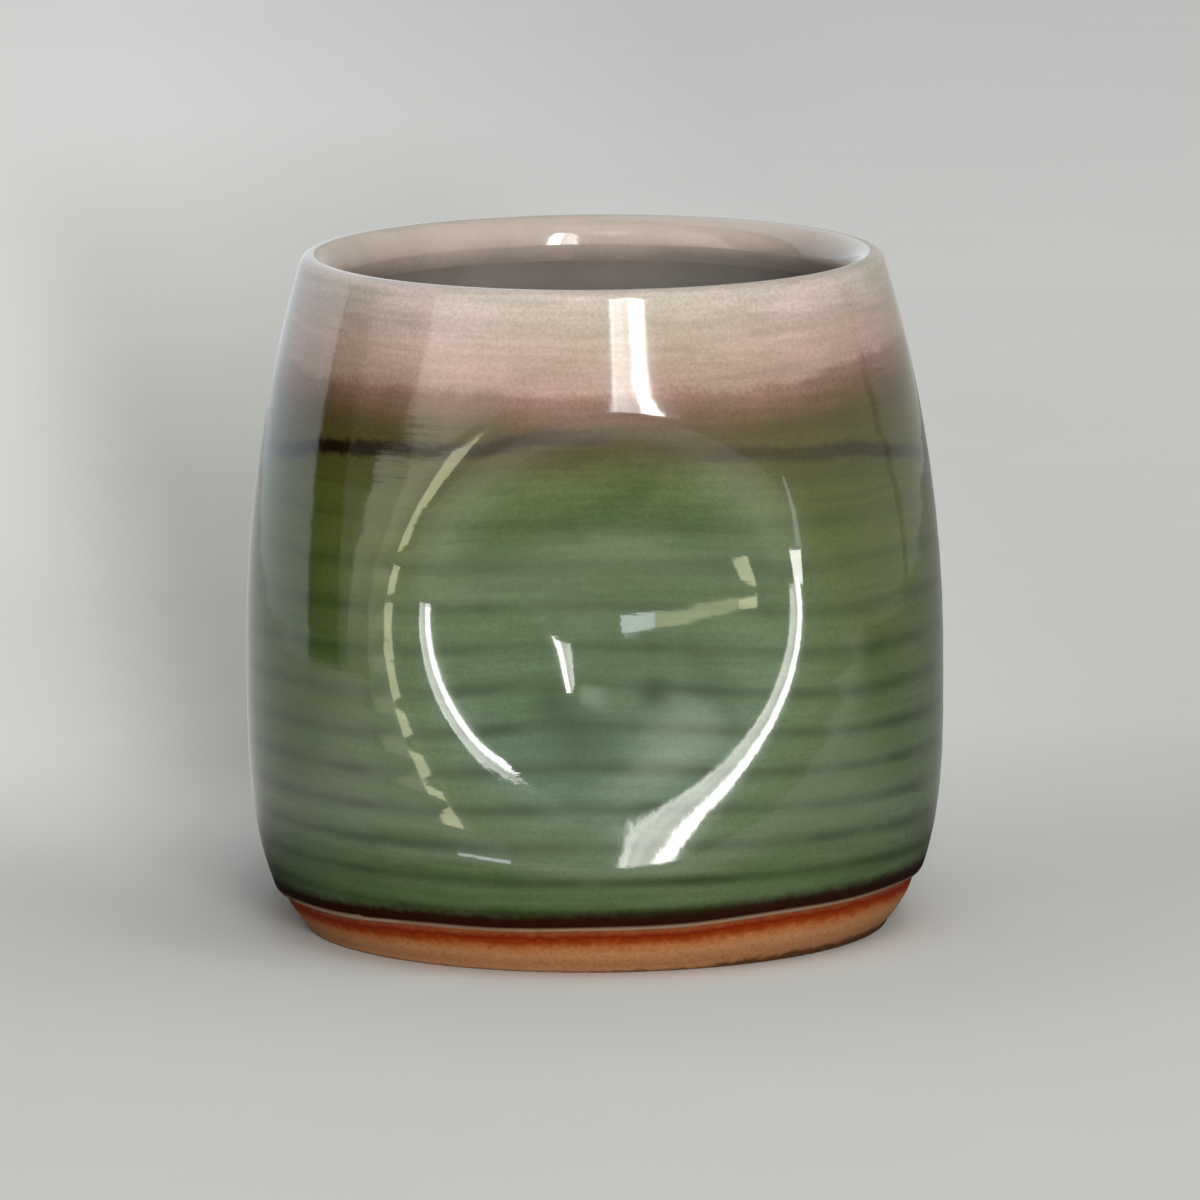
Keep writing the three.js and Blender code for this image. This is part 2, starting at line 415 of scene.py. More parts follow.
# The pieces' meshes.
def clay_mesh():
    """The clay: recessed underside, resting ring, trimmed foot, and the wall under the glaze."""
    ring_inner = FOOT_RADIUS - FOOT_RING
    recess_outer = ring_inner - FOOT_RECESS_SLOPE
    slope_length = math.hypot(FOOT_RECESS, FOOT_RECESS_SLOPE)
    slope_normal = (-FOOT_RECESS / slope_length, -FOOT_RECESS_SLOPE / slope_length)
    fillet_r = float(inner_radius(FILLET_TOP)) - FLOOR_FILLET
    section = Section()
    for r in rows_between(0.6, recess_outer - 0.4, UNDERSIDE_ROW):
        groove = 0.5 + 0.5 * math.cos(2 * math.pi * r / GROOVE_PITCH)
        section.add(r, FOOT_RECESS, 0, -1, -GROOVE_RELIEF * groove * smoothstep(r, 1, 5))
    for t in (0.06, 0.2, 0.5, 0.8, 0.94):
        section.add(recess_outer + FOOT_RECESS_SLOPE * t, FOOT_RECESS * (1 - t), *slope_normal, 0)
    for r in rows_between(ring_inner + 0.1, FOOT_RADIUS - FOOT_EDGE, UNDERSIDE_ROW):
        section.add(r, 0, 0, -1, 0)
    edge_centre, edge_size = (FOOT_RADIUS - FOOT_EDGE, FOOT_EDGE), (FOOT_EDGE, FOOT_EDGE)
    section.arc(edge_centre, edge_size, np.linspace(-75, -10, 6), 0)
    section.wall(clay_radius, rows_between(FOOT_EDGE + FOOT_ROW, BARE_TOP, FOOT_ROW), bare, 1)
    section.wall(clay_radius, rows_between(BARE_TOP + 1, EDGE_HEIGHT, HIDDEN_ROW / 2), bare, 1)
    section.lip(6, 0)
    section.wall(inner_radius, rows_between(ROLL_HEIGHT, FILLET_TOP, HIDDEN_ROW / 2), bare, -1)
    fillet_size = (FLOOR_FILLET, FLOOR_FILLET)
    section.arc((fillet_r, FILLET_TOP), fillet_size, np.linspace(-10, -90, 8), 0, hollow=True)
    for r in rows_between(fillet_r - 2, 2, HIDDEN_ROW):
        section.add(r, FLOOR_TOP, 0, 1, 0)
    return swept_mesh("tumbler_clay", section, closed_ring=False)


def green_mesh():
    """The green coat: a rounded bead at its lower edge, the outer wall, and the hidden inside."""
    edge = glaze_edge(angles)
    section = Section()

    def tilted(z):
        return z + (edge - GLAZE_EDGE) * (1 - smoothstep(z, GLAZE_EDGE, GLAZE_EDGE_LEVEL))

    for t in (0.0, 0.03, 0.1, 0.2, 0.35, 0.55, 0.8, 1.0):
        z = tilted(GLAZE_EDGE + BEAD * t)
        bulge = math.sqrt(1 - (1 - t) ** 2)
        section.wall(clay_radius, [z], lambda z: BEAD_START + (outer_lift(z) - BEAD_START) * bulge, 1)
    outside = rows_between(GLAZE_EDGE + BEAD + 0.25, OUTER_SEAM, OUTER_ROW)
    section.wall(clay_radius, [tilted(z) for z in outside], outer_lift, 1)
    inside = rows_between(OUTER_SEAM, GLAZE_EDGE + BEAD, HIDDEN_ROW)
    section.wall(clay_radius, [tilted(z) for z in inside], hidden, 1)
    return swept_mesh("green_glaze_coat", section, closed_ring=True)


def pink_mesh():
    """The pink coat: up the outer wall, over the lip, and a little way down inside."""
    section = Section()
    below_roll = ROLL_HEIGHT - INNER_ROW
    section.wall(clay_radius, rows_between(OUTER_SEAM, EDGE_HEIGHT, OUTER_ROW), outer_lift, 1)
    section.lip(26, COAT - SKIN_MARGIN)
    section.wall(inner_radius, rows_between(below_roll, INNER_SEAM, INNER_ROW / 2), inner_lift, -1)
    section.wall(inner_radius, rows_between(INNER_SEAM, below_roll, INNER_ROW / 2), hidden, -1)
    section.lip(6, HIDDEN_LIFT, downwards=True)
    section.wall(clay_radius, rows_between(EDGE_HEIGHT, OUTER_SEAM, HIDDEN_ROW / 2), hidden, 1)
    return swept_mesh("pink_rim_coat", section, closed_ring=True)


def liner_mesh():
    """The liner: the inner wall, the fillet and the floor with a spiral of throwing rings."""
    lift = COAT - SKIN_MARGIN
    fillet_r = float(inner_radius(FILLET_TOP)) - FLOOR_FILLET
    fillet = ((fillet_r, FILLET_TOP), (FLOOR_FILLET, FLOOR_FILLET))
    section = Section()
    for r in rows_between(0.5, fillet_r, HIDDEN_ROW):
        section.add(r, FLOOR_TOP, 0, 1, HIDDEN_LIFT)
    section.arc(*fillet, np.linspace(-85, -5, 9), HIDDEN_LIFT, hollow=True)
    section.wall(inner_radius, rows_between(FILLET_TOP, INNER_SEAM, HIDDEN_ROW), hidden, -1)
    section.wall(inner_radius, rows_between(INNER_SEAM, FILLET_TOP, INNER_ROW), inner_lift, -1)
    section.arc(*fillet, np.linspace(-2, -90, 26), lift, hollow=True)
    for r in rows_between(fillet_r - INNER_ROW, 0.5, INNER_ROW):
        spiral = 0.5 + 0.5 * np.cos(2 * math.pi * r / SPIRAL_PITCH - angles)
        section.add(r, FLOOR_TOP, 0, 1, lift - SPIRAL_RELIEF * spiral * smoothstep(r, 0.5, 6))
    return swept_mesh("liner_coat", section, closed_ring=False)


class Tree:
    """A material's node tree, with short calls for the nodes used here."""

    def __init__(self, name):
        self.material = bpy.data.materials.new(name)
        self.material.use_nodes = True
        self.nodes = self.material.node_tree.nodes
        self.links = self.material.node_tree.links
        self.shader = self.nodes["Principled BSDF"]
        self.place = self.nodes.new("ShaderNodeTexCoord").outputs["Object"]

    def put(self, socket, value):
        if isinstance(value, bpy.types.NodeSocket):
            self.links.new(value, socket)
        else:
            socket.default_value = value

    def set(self, name, value):
        self.put(self.shader.inputs[name], value)

    def node(self, kind, inputs=None, **settings):
        node = self.nodes.new(kind)
        for key, value in settings.items():
            setattr(node, key, value)
        for key, value in (inputs or {}).items():
            self.put(node.inputs[key], value)
        return node

    def attribute(self, name):
        return self.node("ShaderNodeAttribute", attribute_name=name).outputs["Fac"]

    def math(self, operation, a, b=0.0, c=0.0):
        return self.node("ShaderNodeMath", {0: a, 1: b, 2: c}, operation=operation).outputs[0]

    def product(self, value, *others):
        for other in others:
            value = self.math("MULTIPLY", value, other)
        return value

    def jittered(self, value, noise, amount):
        """The value with the noise spread over plus and minus the amount."""
        return self.math("ADD", value, self.math("MULTIPLY_ADD", noise, 2.0 * amount, -amount))

    def stretched(self, x, y, z):
        scale = self.node("ShaderNodeVectorMath", {0: self.place, 1: (x, y, z)}, operation="MULTIPLY")
        return scale.outputs[0]

    def noise(self, size, detail=3.0, roughness=0.55, vector=None):
        """Noise whose features are about this many millimetres wide."""
        inputs = {
            "Vector": vector or self.place,
            "Scale": 1 / (size * MM),
            "Detail": detail,
            "Roughness": roughness,
        }
        return self.node("ShaderNodeTexNoise", inputs).outputs["Fac"]

    def between(self, value, low, high, to_low=0.0, to_high=1.0, smooth=False):
        """The value's place between low and high, from to_low to to_high and held there outside."""
        inputs = {"Value": value, "From Min": low, "From Max": high}
        inputs.update({"To Min": to_low, "To Max": to_high})
        kind = "SMOOTHSTEP" if smooth else "LINEAR"
        return self.node("ShaderNodeMapRange", inputs, interpolation_type=kind).outputs["Result"]

    def spread(self, noise, to_low=0.0, to_high=1.0):
        """The noise with its usual range spread over the one given."""
        return self.between(noise, *NOISE_RANGE, to_low, to_high)

    def mix(self, factor, a, b, blend="MIX"):
        pair = [(*c, 1) if isinstance(c, tuple) else c for c in (a, b)]
        inputs = {0: factor, 6: pair[0], 7: pair[1]}
        return self.node("ShaderNodeMix", inputs, data_type="RGBA", blend_type=blend).outputs[2]

    def tinted(self, colour, amount, low, high):
        """The colour multiplied by a tint that runs from low to high as the amount does from 0 to 1."""
        return self.mix(1.0, colour, self.mix(amount, low, high), "MULTIPLY")

    def ramp(self, value, stops):
        """A colour that runs through stops of (value, colour), in rising order."""
        low, high = stops[0][0], stops[-1][0]
        ramp = self.node("ShaderNodeValToRGB", {"Fac": self.between(value, low, high)})
        elements = ramp.color_ramp.elements
        while len(elements) < len(stops):
            elements.new(0.5)
        for element, (at, colour) in zip(elements, stops):
            element.position = (at - low) / (high - low)
            element.color = (*colour, 1)
        return ramp.outputs["Color"]

    def bump(self, height, distance, normal=None):
        inputs = {"Height": height, "Distance": distance * MM, "Strength": 1.0}
        if normal is not None:
            inputs["Normal"] = normal
        return self.node("ShaderNodeBump", inputs).outputs["Normal"]


# The range that nearly all values of Blender's noise lie in.
NOISE_RANGE = (0.3, 0.7)

# The colours of the glaze's buff edge, of the iron over the foot and the dark line, and of the glaze
# pooled in the rings, outside and inside.
BUFF = (0.30, 0.20, 0.13)
IRON = (0.016, 0.004, 0.001)
LINE = (0.008, 0.003, 0.001)
RING_POOL = (0.014, 0.032, 0.006)
INNER_RING_POOL = (0.05, 0.055, 0.04)

# What the glaze's colour is multiplied by in the dimple, by height over the foot: the glaze is bluer
# there, and a painted reflection, a pale haze, brightens its upper part.
DIMPLE_TINT_AND_HAZE = [
    (52, (1.03, 1.18, 1.80)),
    (60, (1.50, 1.74, 3.30)),
    (64, (2.20, 2.60, 5.20)),
    (68, (1.45, 1.58, 2.60)),
]

# The blots where the glaze has run together in the dimple: their colour, and the largest ones' x and
# height, size and strength.
DIMPLE_BLOT = (0.012, 0.034, 0.006)
BLOTS = [(5, 35.3, 1.4, 1.0), (-8.2, 34.0, 1.8, 0.5), (-4.5, 30, 2.8, 0.55), (14, 33.5, 1.2, 0.3)]

# The outer glaze's colour by height over the foot, in millimetres.
OUTER_GLAZE = [
    (6, (0.068, 0.105, 0.048)),
    (30, (0.070, 0.104, 0.038)),
    (52, (0.072, 0.095, 0.024)),
    (60, (0.068, 0.082, 0.018)),
    (65, (0.060, 0.060, 0.013)),
    (69, (0.072, 0.053, 0.015)),
    (71.5, (0.120, 0.072, 0.038)),
    (74.3, (0.225, 0.125, 0.100)),
    (75.7, (0.375, 0.245, 0.210)),
    (80, (0.420, 0.305, 0.262)),
    (84, (0.465, 0.370, 0.328)),
    (87.2, (0.490, 0.420, 0.375)),
    (88, (0.470, 0.375, 0.310)),
]

# The glaze's colour inside, by the same height.
INNER_GLAZE = [
    (6, (0.180, 0.185, 0.165)),
    (60, (0.200, 0.195, 0.175)),
    (78, (0.230, 0.210, 0.190)),
    (82.4, (0.260, 0.220, 0.195)),
    (85, (0.430, 0.345, 0.300)),
    (88, (0.550, 0.470, 0.410)),
]

# The bare clay's colour by height over the glaze's edge: flashed red close under it, and painted shade
# at the lowest edge of the foot, where it meets the floor. Then the colour of the face that it stands
# on, and of its dark spots.
BARE_CLAY_AND_EDGE_SHADE = [
    # Painted shade: this darkest stop darkens the foot's lowest edge.
    (-6.4, (0.080, 0.032, 0.012)),
    (-5.8, (0.300, 0.145, 0.065)),
    (-3.4, (0.390, 0.190, 0.086)),
    (-2.5, (0.360, 0.135, 0.045)),
    (-1.7, (0.240, 0.038, 0.003)),
    (-0.9, (0.155, 0.010, 0.0005)),
    (0.2, (0.240, 0.080, 0.025)),
]
STANDING_CLAY = (0.300, 0.145, 0.065)
CLAY_SPOT = (0.10, 0.045, 0.02)

# The floor's tone by its distance behind the pot's axis, in metres, and its tint. The tone is painted
# shade and light: darker in front of the pot and close behind it, lighter far behind it.
PAPER_TONES = [(-0.20, 0.73), (-0.02, 0.71), (0.05, 0.73), (0.10, 0.84), (0.15, 0.94), (0.80, 0.95)]
PAPER_TINT = (1.0, 1.003, 0.985)

# What the floor's colour is multiplied by behind the pot: painted shade to the right, and a soft
# painted shadow.
PAPER_RIGHT_SHADE = (0.80, 0.80, 0.80)
PAPER_SHADE = (0.61, 0.62, 0.59)
UNTINTED = (1.0, 1.0, 1.0)


def outer_glaze(name):
    tree = Tree(name)
    height = tree.attribute("height")
    fine = tree.noise(1.3, 4, 0.65)
    wavering = tree.jittered(height, tree.noise(9, 2), 1.5)
    wavering = tree.jittered(wavering, tree.noise(0.7, 3, 0.7), 0.9)
    colour = tree.ramp(wavering, OUTER_GLAZE)

    # In the dimple the glaze is bluer, and a painted reflection, a pale haze, brightens its upper part.
    pressed = tree.between(tree.attribute("pressed"), 0.1, 3.5)
    blue_and_hazed = tree.mix(1.0, colour, tree.ramp(height, DIMPLE_TINT_AND_HAZE), "MULTIPLY")
    colour = tree.mix(pressed, colour, blue_and_hazed)

    # Clouds, fine streaks along the throwing, and speckle.
    cloud = tree.spread(tree.noise(16, 3))
    colour = tree.tinted(colour, cloud, (0.86, 0.93, 0.84), (1.12, 1.07, 1.14))
    streaks = tree.noise(1.0, 3, 0.6, vector=tree.stretched(0.08, 0.08, 1.0))
    colour = tree.tinted(colour, tree.spread(streaks), (0.85, 0.87, 0.84), (1.12, 1.10, 1.12))
    speckle = tree.spread(tree.noise(0.45, 2, 0.6))
    colour = tree.tinted(colour, speckle, (0.88, 0.88, 0.86), (1.12, 1.12, 1.14))

    # Blots where the glaze has run together in the dimple: the largest, and faint ones from noise.
    faint = tree.between(tree.noise(7, 3), 0.52, 0.66)
    faint = tree.product(faint, tree.between(pressed, 0.4, 1.0), 0.2)
    colour = tree.mix(tree.math("MAXIMUM", faint, tree.attribute("blot")), colour, DIMPLE_BLOT)

    # The glaze pools darker in the throwing rings, most of all low on the wall.
    lower_down = tree.between(height, 66, 30, 0.10, 0.95)
    uneven = tree.between(tree.noise(14, 2), 0.35, 0.65, 0.45, 1.0)
    colour = tree.mix(tree.product(tree.attribute("ring"), lower_down, uneven), colour, RING_POOL)

    # The dark line where the two glazes meet, frayed at its edges.
    off_line = tree.math("ABSOLUTE", tree.jittered(tree.attribute("above_line"), fine, 0.8))
    line = tree.between(off_line, 0.35, 1.5, 1.0, 0.0, smooth=True)
    colour = tree.mix(tree.product(line, tree.attribute("line_strength")), colour, LINE)

    # Iron bleeding into the glaze over the foot, and the thin buff edge of the coat.
    above_edge = tree.attribute("above_edge")
    iron = tree.between(tree.jittered(above_edge, fine, 0.7), 1.9, 3.7, 1.0, 0.0, smooth=True)
    colour = tree.mix(iron, colour, IRON)
    buff = tree.between(above_edge, 0.5, 1.1, 1.0, 0.0, smooth=True)
    colour = tree.mix(buff, colour, BUFF)

    # Inside the rim the coat takes the liner's colours.
    inwards = tree.between(tree.attribute("inwards"), 0.2, 1.2, smooth=True)
    colour = tree.mix(inwards, colour, tree.ramp(wavering, INNER_GLAZE))

    tree.set("Base Color", colour)
    gloss = tree.spread(tree.noise(6, 3), 0.05, 0.10)
    tree.set("Roughness", tree.math("ADD", gloss, tree.product(iron, 0.12)))
    ripple = tree.bump(tree.noise(0.8, 2), 0.004, normal=tree.bump(streaks, 0.012))
    tree.set("Normal", tree.bump(tree.noise(3.5, 2), 0.016, normal=ripple))
    return tree.material


def liner_glaze():
    tree = Tree("liner_glaze")
    fine = tree.noise(1.4, 4, 0.65)
    colour = tree.ramp(tree.jittered(tree.attribute("height"), fine, 0.8), INNER_GLAZE)
    cloud = tree.spread(tree.noise(12, 3))
    colour = tree.tinted(colour, cloud, (0.85, 0.88, 0.84), (1.12, 1.10, 1.12))
    colour = tree.mix(tree.product(tree.attribute("ring"), 0.22), colour, INNER_RING_POOL)
    tree.set("Base Color", colour)
    tree.set("Roughness", tree.spread(tree.noise(6, 3), 0.08, 0.16))
    tree.set("Normal", tree.bump(tree.noise(3, 2), 0.02))
    return tree.material


def bare_clay():
    tree = Tree("stoneware")
    grain = tree.noise(0.5, 4, 0.7)
    grit = tree.noise(1.6, 2)
    # The clay's colours, with painted shade at the lowest edge of the foot.
    colour = tree.ramp(tree.jittered(tree.attribute("above_edge"), grit, 0.6), BARE_CLAY_AND_EDGE_SHADE)
    standing = tree.between(tree.attribute("height"), 0.02, 0.15, 1.0, 0.0)
    colour = tree.mix(standing, colour, STANDING_CLAY)
    colour = tree.tinted(colour, tree.spread(grain), (0.74, 0.70, 0.66), (1.1, 1.1, 1.1))
    spots = tree.between(tree.noise(0.9, 2, 0.5), 0.68, 0.74, 0.0, 0.6)
    tree.set("Base Color", tree.mix(spots, colour, CLAY_SPOT))
    tree.set("Roughness", tree.spread(grain, 0.72, 0.9))
    tree.set("Specular IOR Level", 0.06)
    tree.set("Normal", tree.bump(grit, 0.08, normal=tree.bump(grain, 0.06)))
    return tree.material


def paper():
    """The plain pale paper under the pot, with painted light and shade: its tone towards the back, a
    soft painted shadow behind the pot, and a painted glow of its own there, which only the camera sees."""
    tree = Tree("floor_paper")
    place = tree.node("ShaderNodeSeparateXYZ", {0: tree.place})
    right, behind = place.outputs["X"], place.outputs["Y"]
    tones = [(y, tuple(tone * tint for tint in PAPER_TINT)) for y, tone in PAPER_TONES]
    colour = tree.ramp(behind, tones)
    # Painted shade on the floor behind the pot and to its right.
    fading = tree.product(tree.between(right, -0.02, 0.09), tree.between(behind, 0.0, 0.12))
    colour = tree.tinted(colour, fading, UNTINTED, PAPER_RIGHT_SHADE)
    # A soft painted shadow on the floor behind the pot, reaching out to its left.
    shaded = tree.product(
        tree.between(right, -0.066, -0.034, smooth=True),
        tree.between(right, 0.02, 0.06, 1.0, 0.0, smooth=True),
        tree.between(behind, 0.05, 0.14, smooth=True),
        tree.between(behind, 0.40, 0.85, 1.0, 0.0),
    )
    colour = tree.tinted(colour, shaded, UNTINTED, PAPER_SHADE)
    cloud = tree.spread(tree.noise(60, 4, 0.6))
    tree.set("Base Color", tree.tinted(colour, cloud, (0.97, 0.97, 0.97), UNTINTED))
    tree.set("Roughness", 0.9)
    tree.set("Specular IOR Level", 0.2)
    tree.set("Emission Color", colour)
    # Painted light: the floor glows for the camera alone, more towards the back.
    near, far = tree.between(behind, 0.02, 0.12, 0.0, 0.07), tree.between(behind, 0.15, 0.55, 0.0, 0.11)
    seen = tree.node("ShaderNodeLightPath").outputs["Is Camera Ray"]
    tree.set("Emission Strength", tree.product(seen, tree.math("ADD", near, far)))
    return tree.material


# The studio.
def facing(azimuth, elevation):
    """The direction from the pot at this bearing and elevation."""
    a, e = math.radians(azimuth), math.radians(elevation)
    return Vector((math.sin(a) * math.cos(e), -math.cos(a) * math.cos(e), math.sin(e)))


def show_to(thing, *rays):
    for kind in ("camera", "diffuse", "glossy", "transmission", "volume_scatter", "shadow"):
        setattr(thing, "visible_" + kind, kind in rays)


def stage_object(name, points, faces, material, *rays):
    mesh = bpy.data.meshes.new(name)
    mesh.from_pydata(points, [], faces)
    mesh.materials.append(material)
    thing = bpy.data.objects.new(name, mesh)
    bpy.context.scene.collection.objects.link(thing)
    show_to(thing, *rays)
    return thing


def make_floor():
    half = 8
    square = [(-half, -half, 0), (half, -half, 0), (half, half, 0), (-half, half, 0)]
    rays = ("camera", "diffuse", "transmission", "shadow")
    stage_object("floor", square, [(0, 1, 2, 3)], paper(), *rays)


def make_tabletop():
    """The tabletop that only the gloss sees: a glow in place of the lit table, with painted shade close
    round the pot, and darker behind it.
    """
    towards, rightwards = facing(CAMERA_AZIMUTH, 0), facing(CAMERA_AZIMUTH + 90, 0)
    raised = Vector((0, 0, TABLE_HEIGHT))
    us, vs = np.linspace(TABLE_LEFT, TABLE_RIGHT, 60), np.linspace(TABLE_BEHIND, TABLE_FRONT, 70)
    points = [tuple(rightwards * u + towards * v + raised) for v in vs for u in us]
    wide = len(us)
    corners = [i * wide + j for i in range(len(vs) - 1) for j in range(wide - 1)]
    faces = [(k, k + 1, k + wide + 1, k + wide) for k in corners]
    material = glow("tabletop_glow", (1.0, 1.0, 0.97), 1.5, fading=True, solid=True)
    table = stage_object("tabletop", points, faces, material, "glossy")
    u, v = np.meshgrid(us, vs)
    # Painted shade: the table's glow fades out close round the pot, and is lower behind it.
    round_pot = smoothstep(np.hypot(u, v), *TABLE_SHADE)
    behind = (0.6 + 0.2 * smoothstep(u, -0.05, 0.05)) * smoothstep(-v, -0.08, 0.05)
    add_attribute(table.data, "level", (round_pot * (1 - behind)).ravel())


def glow(name, colour, strength, fading=False, solid=False):
    """A glowing material that adds to what lies behind it, unless it is solid or its strength is 0.
    A fading one is multiplied by the mesh's level."""
    material = bpy.data.materials.new(name)
    material.use_nodes = True
    nodes, links = material.node_tree.nodes, material.node_tree.links
    nodes.remove(nodes["Principled BSDF"])
    emission = nodes.new("ShaderNodeEmission")
    emission.inputs["Color"].default_value = (*colour, 1)
    emission.inputs["Strength"].default_value = strength
    surface = emission.outputs[0]
    if fading:
        level = nodes.new("ShaderNodeAttribute")
        level.attribute_name = "level"
        multiply = nodes.new("ShaderNodeMath")
        multiply.operation = "MULTIPLY"
        multiply.inputs[0].default_value = strength
        links.new(level.outputs["Fac"], multiply.inputs[1])
        links.new(multiply.outputs[0], emission.inputs["Strength"])
    if strength and not solid:
        add = nodes.new("ShaderNodeAddShader")
        links.new(surface, add.inputs[0])
        links.new(nodes.new("ShaderNodeBsdfTransparent").outputs[0], add.inputs[1])
        surface = add.outputs[0]
    links.new(surface, nodes["Material Output"].inputs["Surface"])
    return material


def card(name, edges, colour, strength, levels=None, across=(1,), distance=5.0):
    """A card that only the gloss sees. Its edges are, from low to high, an elevation and the bearings
    of its left and right edge there. Its brightness is multiplied by a level at each of them, and by
    levels spaced evenly across."""
    steps = 12
    heart = Vector((0, 0, CAMERA_TARGET))
    points = [
        tuple(facing(azimuth, elevation) * distance + heart)
        for elevation, left, right in edges
        for azimuth in np.linspace(left, right, steps + 1)
    ]
    faces = []
    for i in range(len(edges) - 1):
        low, high = i * (steps + 1), (i + 1) * (steps + 1)
        faces += [(low + j, low + j + 1, high + j + 1, high + j) for j in range(steps)]
    fading = bool(levels) or len(across) > 1
    thing = stage_object(name, points, faces, glow(name, colour, strength, fading), "glossy")
    if fading:
        along = np.interp(np.linspace(0, 1, steps + 1), np.linspace(0, 1, len(across)), across)
        add_attribute(thing.data, "level", np.outer(levels or [1] * len(edges), along).ravel())


def upright(left, right, *elevations):
    """The edges of a card with upright sides."""
    return [(elevation, left, right) for elevation in elevations]


def close_card(name, left, right, colour, strength):
    """A small strip close to the glaze that only the gloss sees. Its two edges are points in
    millimetres to the right, to the front and up, as the camera faces the pot."""
    towards, rightwards = facing(CAMERA_AZIMUTH, 0), facing(CAMERA_AZIMUTH + 90, 0)
    points = [
        tuple((rightwards * point[0] + towards * point[1] + Vector((0, 0, point[2]))) * MM)
        for pair in zip(left, right)
        for point in pair
    ]
    faces = [(2 * i, 2 * i + 1, 2 * i + 3, 2 * i + 2) for i in range(len(left) - 1)]
    stage_object(name, points, faces, glow(name, colour, strength), "glossy")


# The colours of the things that the gloss mirrors.
WHITE, CREAM, WARM = (1.0, 0.98, 0.95), (1.0, 1.0, 0.86), (1.0, 1.0, 0.62)
COOL, GREENISH, BLACK = (0.86, 0.95, 1.0), (0.9, 0.95, 0.8), (0, 0, 0)


def mirror_window():
    """The tall window, in upright strips on one sill, each with its bearings, the elevation of its top
    and its strength."""
    strips = [
        ("window_left", 2.6, 4.4, 38, 15),
        ("window_bar", 4.4, 5.0, 41, 6),
        ("window_pane", 5.0, 7.2, 44, 11),
        ("window_curtain", 7.2, 10.4, 47, 8),
        ("window_right", 10.4, 15.6, 47, 29),
    ]
    sill = -12.5
    for name, left, right, top, strength in strips:
        card(name, upright(left, right, sill, top), WHITE, strength)
    card("window_side", upright(15.9, 22.0, -12, 40), GREENISH, 2.0, across=(1, 0))


def mirror_room():
    """Pale and dark things round the pot: a lamp's glow, walls, a dark doorway and a post."""
    card("lamp_glow", upright(-50, -39, -12, 5), WARM, 6.0)
    haze_heights, haze_levels = (34, 40, 47, 54, 61), [0, 0.8, 1, 0.8, 0]
    card("ceiling_haze", upright(-32, 2, *haze_heights), CREAM, 2.4, haze_levels, haze_levels)

    # The wall at the left, with a dark rail along it.
    wall_heights = (-20, -8, 0, 6.8, 7.6, 9.8, 10.8, 50)
    wall_levels = [0, 0.3, 0.75, 0.95, 0.2, 0.2, 0.9, 0.6]
    wall_across = (1, 1, 1, 0.95, 0.8, 0.5, 0)
    card("side_wall", upright(-96, -30, *wall_heights), CREAM, 2.2, wall_levels, wall_across)

    # A doorway at the end of the wall: darkness, a faint glow before it, and the edge of its dark door.
    opening = [(-7.5, -100, -91.4), (-1, -100, -91), (2.2, -100, -88), (5.5, -100, -85.5)]
    opening += [(7.4, -100, -81), (9.2, -100, -76), (16, -100, -70), (60, -100, -70)]
    opening_levels = [1, 1, 0.9, 0.4, 0.3, 0.5, 1.3, 1.3]
    card("dark_room", opening, BLACK, 0, distance=4.6)
    card("doorway", opening, CREAM, 0.5, opening_levels, distance=4.5)
    door = [(-7.5, -113, -97), (3, -115.5, -98.5), (60, -115.5, -98.5)]
    card("dark_door", door, BLACK, 0, distance=4.4)
    card("back_left", upright(-184, -113, -30, -8, 2, 70), COOL, 0.9, [0.4, 0.7, 1, 1])

    # A post at the right, dark with a little haze before it.
    post = [(-11, 118, 121.5), (-6.4, 119.2, 122.7), (-4, 120.5, 124), (-1, 118.2, 121.5)]
    post += [(2, 113, 116.5), (5, 110, 113.5), (50, 107, 110.5)]
    card("dark_post", post, BLACK, 0, distance=4.6)
    card("post_haze", post, CREAM, 0.35, distance=4.5)

    # The room behind the rest, brightest in front and darker to the right.
    room_levels = [0.75, 1, 1, 1, 1]
    room_across = (0.7, 0.9, 1, 0.8, 0.65, 0.5, 0.38, 0.32, 0.35)
    room = upright(-71, 176, -28, 0, 25, 50, 80)
    card("room", room, CREAM, 1.1, room_levels, room_across, distance=7)


def mirror_small_things():
    """Small things that show as marks in and beside the dimple and low on the wall."""
    shelf_top = [(2.9, 38.1, 43.8), (6.8, 38.4, 45.5), (11, 38.6, 46.3)]
    shelf_top += [(15.7, 39.4, 46.6), (18.6, 40.1, 46.8)]
    shelf_foot = [(2.1, 38, 42), (6.3, 38.4, 44.1), (11.1, 38.8, 45.4)]
    shelf_foot += [(15.7, 39.6, 45.9), (18.6, 40.2, 45.9)]
    close_card("shelf_end", shelf_top[:2], shelf_foot[:2], COOL, 8)
    close_card("shelf", shelf_top[1:4], shelf_foot[1:4], WARM, 4)
    close_card("shelf_corner", shelf_top[3:], shelf_foot[3:], WARM, 8)

    note_left = [(14.9, 38.9, 49.1), (16.1, 39.3, 47.8)]
    note_right = [(17.3, 39.5, 49.7), (18.6, 40, 47.4)]
    close_card("pale_note", note_left, note_right, WARM, 7)
    latch_left = [(26.8, 40.6, 51.5), (27.1, 40.6, 48.1)]
    latch_right = [(30, 39.8, 52.1), (29.5, 40.1, 48.3)]
    close_card("window_latch", latch_left, latch_right, WHITE, 18)
    cord_left = [(29.4, 39.8, 62.5), (29.6, 39.9, 57.1), (28.9, 40.2, 52.2)]
    cord_right = [(29.9, 39.4, 62.9), (30.6, 39.4, 57.4), (30.3, 39.7, 52.4)]
    close_card("window_cord", cord_left, cord_right, COOL, 2.5)
    stick_top = [(-22.4, 45.6, 14.5), (-18.6, 47.5, 14.8), (-13.6, 49.2, 14.5)]
    stick_foot = [(-22.4, 45.4, 14.3), (-18.7, 47.4, 14), (-13.7, 49.1, 13.7)]
    close_card("pale_stick", stick_top, stick_foot, COOL, 7)


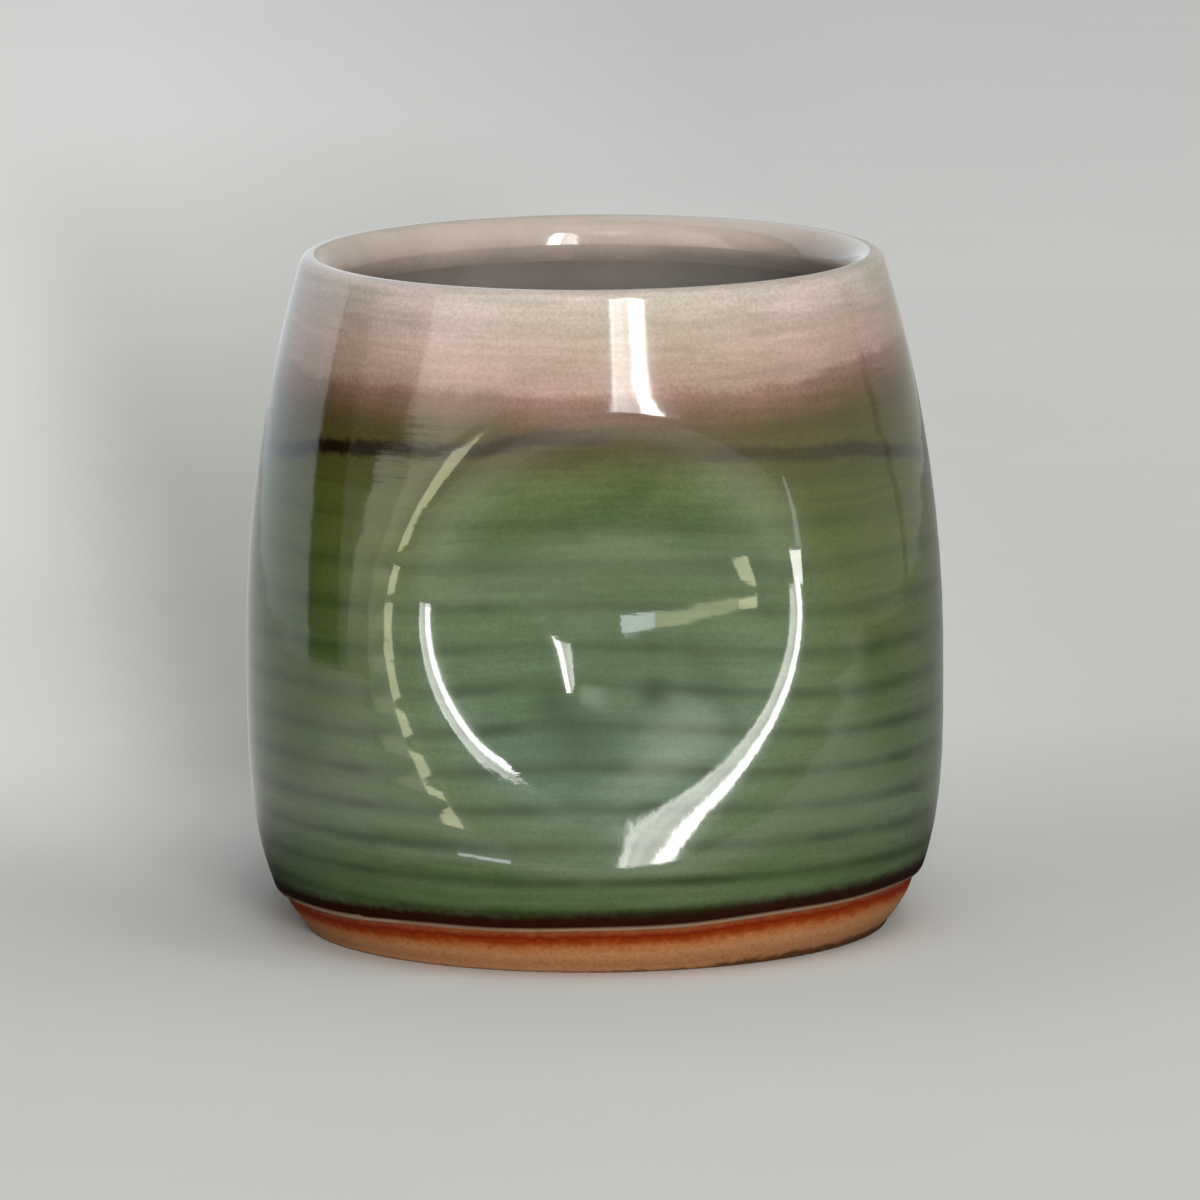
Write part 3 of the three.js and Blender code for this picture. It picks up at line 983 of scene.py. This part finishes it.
def make_lights():
    world = bpy.data.worlds.new("room")
    bpy.context.scene.world = world
    world.use_nodes = True
    background = world.node_tree.nodes["Background"]
    background.inputs["Color"].default_value = (*ROOM_COLOUR, 1)
    background.inputs["Strength"].default_value = ROOM_LEVEL
    for name, (level, azimuth, elevation, size) in (("key", KEY_LIGHT), ("top", TOP_LIGHT)):
        light = bpy.data.lights.new(name, "AREA")
        light.shape = "RECTANGLE"
        light.size, light.size_y = size
        light.color = LIGHT_COLOUR
        light.energy = level * math.pi**2 * LIGHT_DISTANCE**2
        lamp = bpy.data.objects.new(name, light)
        direction = facing(azimuth, elevation)
        lamp.location = direction * LIGHT_DISTANCE
        lamp.rotation_euler = direction.to_track_quat("Z", "Y").to_euler()
        lamp.visible_glossy = False
        lamp.visible_camera = False
        bpy.context.scene.collection.objects.link(lamp)


def make_camera():
    data = bpy.data.cameras.new("camera")
    data.sensor_width = 36
    data.lens = CAMERA_LENS
    data.clip_start, data.clip_end = 0.1, 50
    camera = bpy.data.objects.new("camera", data)
    bpy.context.scene.collection.objects.link(camera)
    back = facing(CAMERA_AZIMUTH, CAMERA_ELEVATION)
    right = facing(CAMERA_AZIMUTH + 90, 0)
    up = back.cross(right)
    target = Vector((0, 0, CAMERA_TARGET))
    location = target + back * CAMERA_DISTANCE
    aim = target + right * CAMERA_AIM[0] + up * CAMERA_AIM[1]
    z_axis = (location - aim).normalized()
    x_axis = up.cross(z_axis).normalized()
    y_axis = z_axis.cross(x_axis)
    turn = Matrix.Rotation(-math.radians(CAMERA_ROLL), 4, "Z")
    axes = Matrix((x_axis, y_axis, z_axis)).transposed().to_4x4()
    camera.matrix_world = Matrix.Translation(location) @ axes @ turn
    bpy.context.scene.camera = camera


make_camera()
make_lights()
make_floor()
make_tabletop()
mirror_window()
mirror_room()
mirror_small_things()
add_piece("tumbler_clay", clay_mesh(), bare_clay(), "clay_body")
add_piece("green_glaze_coat", green_mesh(), outer_glaze("green_glaze"), "green_glaze")
add_piece("pink_rim_coat", pink_mesh(), outer_glaze("pink_glaze"), "pink_rim_glaze")
add_piece("liner_coat", liner_mesh(), liner_glaze(), "liner_glaze")

bpy.context.scene.view_settings.view_transform = "Standard"
